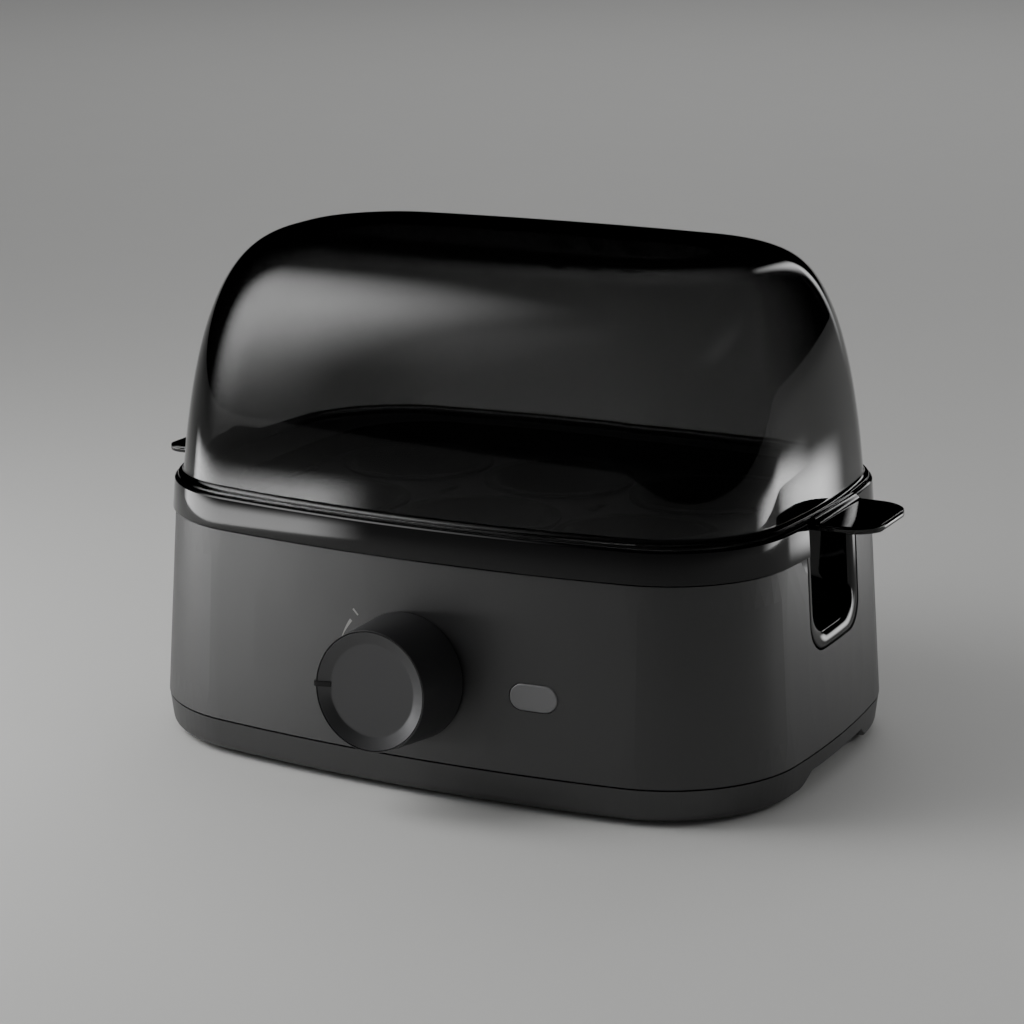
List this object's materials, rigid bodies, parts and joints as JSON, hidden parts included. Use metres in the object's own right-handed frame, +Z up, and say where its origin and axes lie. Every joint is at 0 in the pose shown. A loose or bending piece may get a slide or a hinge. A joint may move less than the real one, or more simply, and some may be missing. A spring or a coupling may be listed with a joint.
{
  "type": "electric egg cooker",
  "caption": "Countertop egg cooker: drafted black housing with gloss band, smoke lid with two ears, lift-out egg tray, heated water dish, front dial and push key.",
  "frame": {"origin": "middle of the whole object's footprint, at the height of the surface it stands on", "axes": "+X along the long side to the right seen from the front, the dial and key face -Y, +Z up"},
  "size_m": [0.2612, 0.1864, 0.1661],
  "materials": {
    "housing_plastic": "black moulded plastic with a fine satin texture",
    "base_plastic": "black moulded plastic, satin",
    "foot_rubber": "soft black rubber",
    "seal_rubber": "red-brown silicone gasket",
    "screw_steel": "zinc-plated steel",
    "gloss_black": "high-gloss black moulded plastic",
    "plate_metal": "satin stainless water dish",
    "element_steel": "bright-drawn heater sheath, heat-tinted",
    "dark_moulding": "black engineering plastic",
    "board_green": "green solder mask on glass laminate",
    "led_lens": "clear moulded lens",
    "relay_blue": "blue moulded case",
    "terminal_grey": "grey moulded plastic",
    "dial_black": "satin black moulded plastic",
    "dial_metal": "dark satin metallic coat on a dished cap",
    "key_grey": "dark grey satin plastic",
    "tray_plastic": "black heat-resistant plastic",
    "seat_silicone": "soft dark silicone",
    "lid_smoke": "smoke-tinted clear glossy plastic"
  },
  "bodies": {
    "root": {"body_shell": "housing_plastic", "base_cover": "base_plastic", "rubber_feet": "foot_rubber", "base_screws": "screw_steel", "trim_band": "gloss_black", "finger_pockets": "gloss_black", "inner_liner": "dark_moulding", "heating_plate": "plate_metal", "plate_seal": "seal_rubber", "heater_element": "element_steel", "heater_pins": "element_steel", "plate_clamps": "screw_steel", "clamp_screws": "screw_steel", "thermostat": "dark_moulding", "thermostat_bracket": "screw_steel", "bracket_screws": "screw_steel", "thermal_fuse": "screw_steel", "control_board": "board_green", "board_screws": "screw_steel", "selector_switch": "dark_moulding", "selector_nut": "screw_steel", "button_guide": "dark_moulding", "tact_switch": "dark_moulding", "status_led": "led_lens", "buzzer": "dark_moulding", "power_board": "board_green", "power_board_screws": "screw_steel", "relay": "relay_blue", "terminal_block": "terminal_grey", "capacitor": "terminal_grey", "gland_plate": "housing_plastic", "cord_gland": "dark_moulding"},
    "dial": {"knob_barrel": "dial_black", "knob_face": "dial_metal", "knob_pointer": "gloss_black", "knob_clip": "screw_steel", "selector_shaft": "screw_steel"},
    "key": {"power_button": "key_grey"},
    "tray": {"egg_tray": "tray_plastic", "tray_rim": "tray_plastic", "egg_seats": "seat_silicone"},
    "cover": {"lid": "lid_smoke", "lid_rim": "lid_smoke"}
  },
  "joints": [
    {"name": "knob_turn", "type": "hinge", "parent": "root", "child": "dial", "pos_m": [0, -0.06917, 0.039], "axis": [0, -0.9976, 0.0689], "range_deg": [-45, 45]},
    {"name": "button_press", "type": "slide", "parent": "root", "child": "key", "axis": [0, 0.9976, -0.0689], "range_m": [0, 0.001], "stiffness_N_per_m": 1000, "springref_m": -0.001},
    {"name": "tray_lift", "type": "slide", "parent": "root", "child": "tray", "axis": [0, 0, 1], "range_m": [0, 0.12]},
    {"name": "lid_lift", "type": "slide", "parent": "tray", "child": "cover", "axis": [0, 0, 1], "range_m": [0, 0.12]}
  ]
}
